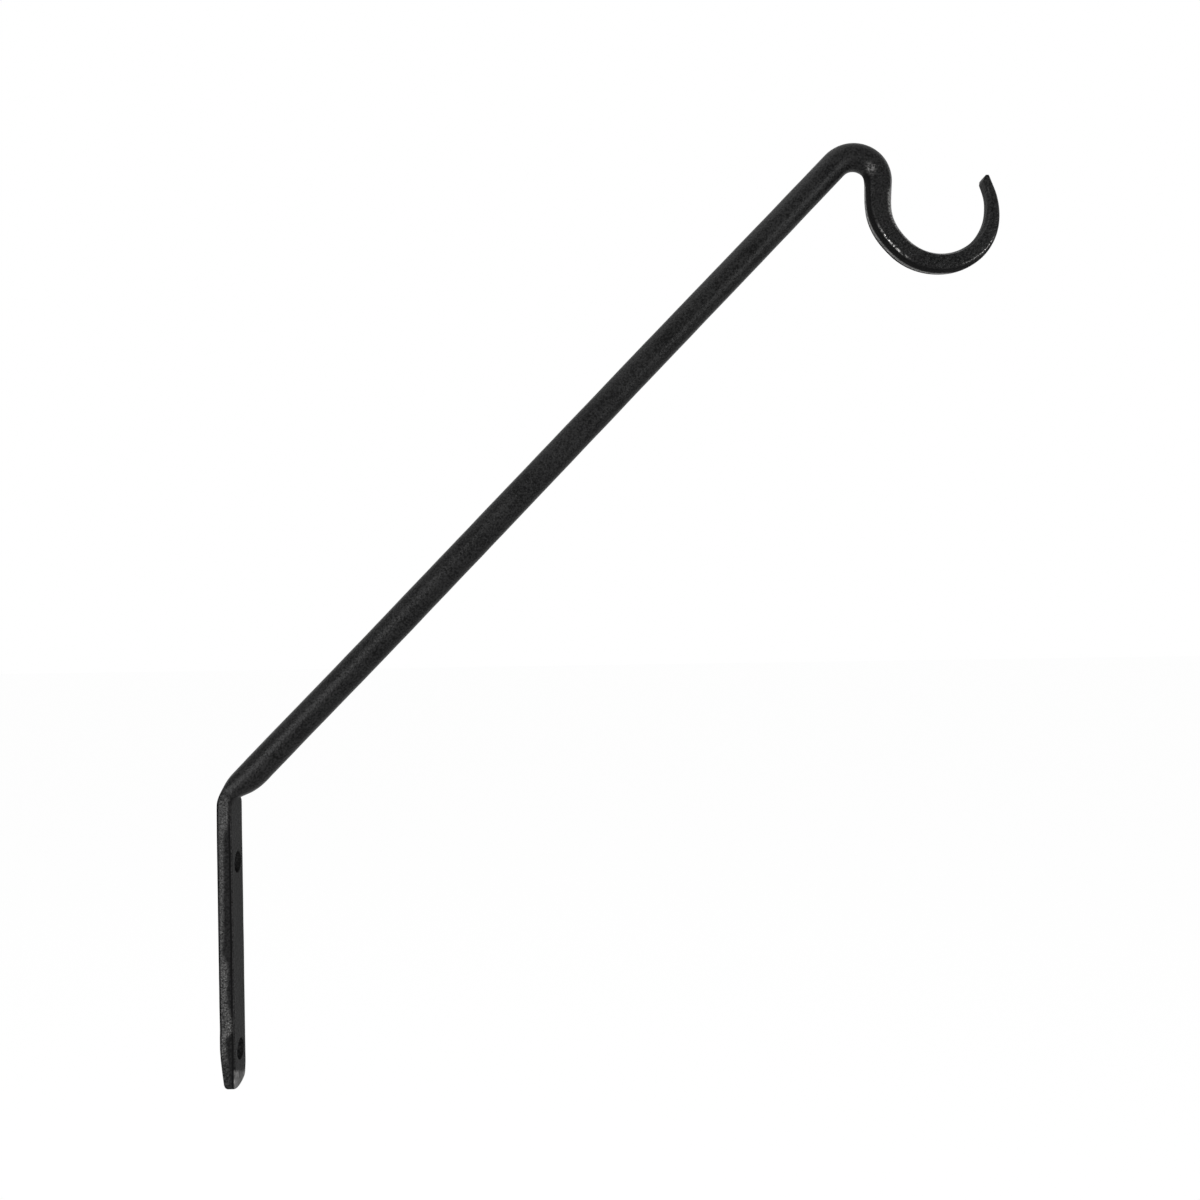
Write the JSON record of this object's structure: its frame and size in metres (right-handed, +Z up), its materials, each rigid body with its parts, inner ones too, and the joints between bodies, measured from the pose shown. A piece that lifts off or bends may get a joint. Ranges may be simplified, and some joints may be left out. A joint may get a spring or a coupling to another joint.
{
  "type": "wrought iron wall bracket",
  "caption": "Black wrought iron wall bracket forged from round bar: a flattened strap with screw holes, a sloping arm and an upturned open hook to hang a lantern or plant from.",
  "frame": {"origin": "on the strap's flat wall face, on its middle line, midway between the centres of the two screw holes", "axes": "+X points away from the wall towards the hook, +Z up along the strap, +Y across the strap's width; the bracket is bent in the XZ plane"},
  "size_m": [0.3363, 0.016, 0.3991],
  "materials": {
    "black_coat": "satin black coat over forged iron, with hammer marks showing through"
  },
  "bodies": {
    "root": {"bracket": "black_coat"}
  },
  "joints": []
}
